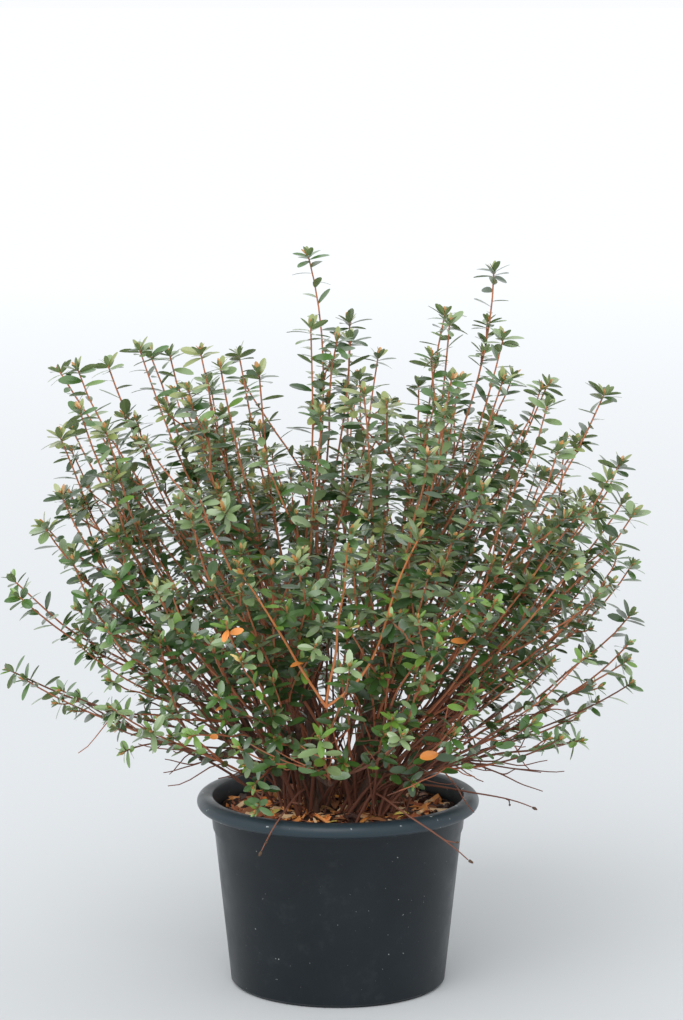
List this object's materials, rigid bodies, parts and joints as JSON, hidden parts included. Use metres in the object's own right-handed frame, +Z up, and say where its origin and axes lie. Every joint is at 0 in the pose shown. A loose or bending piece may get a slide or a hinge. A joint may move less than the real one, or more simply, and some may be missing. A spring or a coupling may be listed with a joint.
{
  "type": "azalea shrub in a pot",
  "caption": "Low evergreen azalea with several stems, a broad rounded crown of small leathery leaves and long upright shoots, in a round nursery pot.",
  "frame": {"origin": "centre of the pot's flat underside", "axes": "+Z up out of the pot, the shrub's front faces -Y"},
  "size_m": [0.6066, 0.5466, 0.6707],
  "materials": {
    "pot_plastic": "satin black moulded plastic with a faint blue-grey bloom and dust",
    "potting_mix": "dark peat and bark chips",
    "bark": "rough dark red-brown bark",
    "young_twig": "smooth orange-brown skin",
    "foliage": "leathery leaf with a satin sheen",
    "leaf_dark": "dark green leathery leaf with a satin sheen",
    "leaf_mid": "green leathery leaf with a satin sheen",
    "leaf_grey": "grey-green leathery leaf with a satin sheen",
    "leaf_fresh": "bright green leaf with a satin sheen",
    "leaf_bronze": "young bronze leaf with a satin sheen",
    "leaf_pale": "pale matt leaf underside",
    "bud": "olive-yellow bud scales",
    "leaf_turned": "yellow to orange turned leaf",
    "bark_chip": "torn bark chip",
    "fallen_leaf": "dry fallen leaf"
  },
  "bodies": {
    "root": {"pot": "pot_plastic", "soil": "potting_mix", "stem_1": "bark", "stem_2": "bark", "stem_3": "bark", "stem_4": "bark", "stem_5": "bark", "stem_6": "bark", "stem_7": "bark", "stem_8": "bark", "bough_right_low": "bark", "bough_back_right_low": "bark", "bough_back_low": "bark", "bough_back_left_low": "bark", "bough_left_low": "bark", "bough_front_left_low": "bark", "bough_front_low": "bark", "bough_front_right_low": "bark", "bough_right": "bark", "bough_back_right": "bark", "bough_back_left": "bark", "bough_left_back": "bark", "bough_left_front": "bark", "bough_front_left": "bark", "bough_front_right": "bark", "bough_right_front": "bark", "bough_upper_right": "bark", "bough_upper_back": "bark", "bough_upper_left": "bark", "bough_upper_front_left": "bark", "bough_upper_front_right": "bark", "bough_top": "bark", "bare_twig_1": "young_twig", "bare_twig_2": "young_twig", "bare_twig_3": "young_twig", "foliage_right_low": "foliage", "foliage_back_right_low": "foliage", "foliage_back_low": "foliage", "foliage_back_left_low": "foliage", "foliage_left_low": "foliage", "foliage_front_left_low": "foliage", "foliage_front_low": "foliage", "foliage_front_right_low": "foliage", "foliage_right": "foliage", "foliage_back_right": "foliage", "foliage_back_left": "foliage", "foliage_left_back": "foliage", "foliage_left_front": "foliage", "foliage_front_left": "foliage", "foliage_front_right": "foliage", "foliage_right_front": "foliage", "foliage_upper_right": "foliage", "foliage_upper_back": "foliage", "foliage_upper_left": "foliage", "foliage_upper_front_left": "foliage", "foliage_upper_front_right": "foliage", "foliage_top": "foliage"}
  },
  "joints": []
}
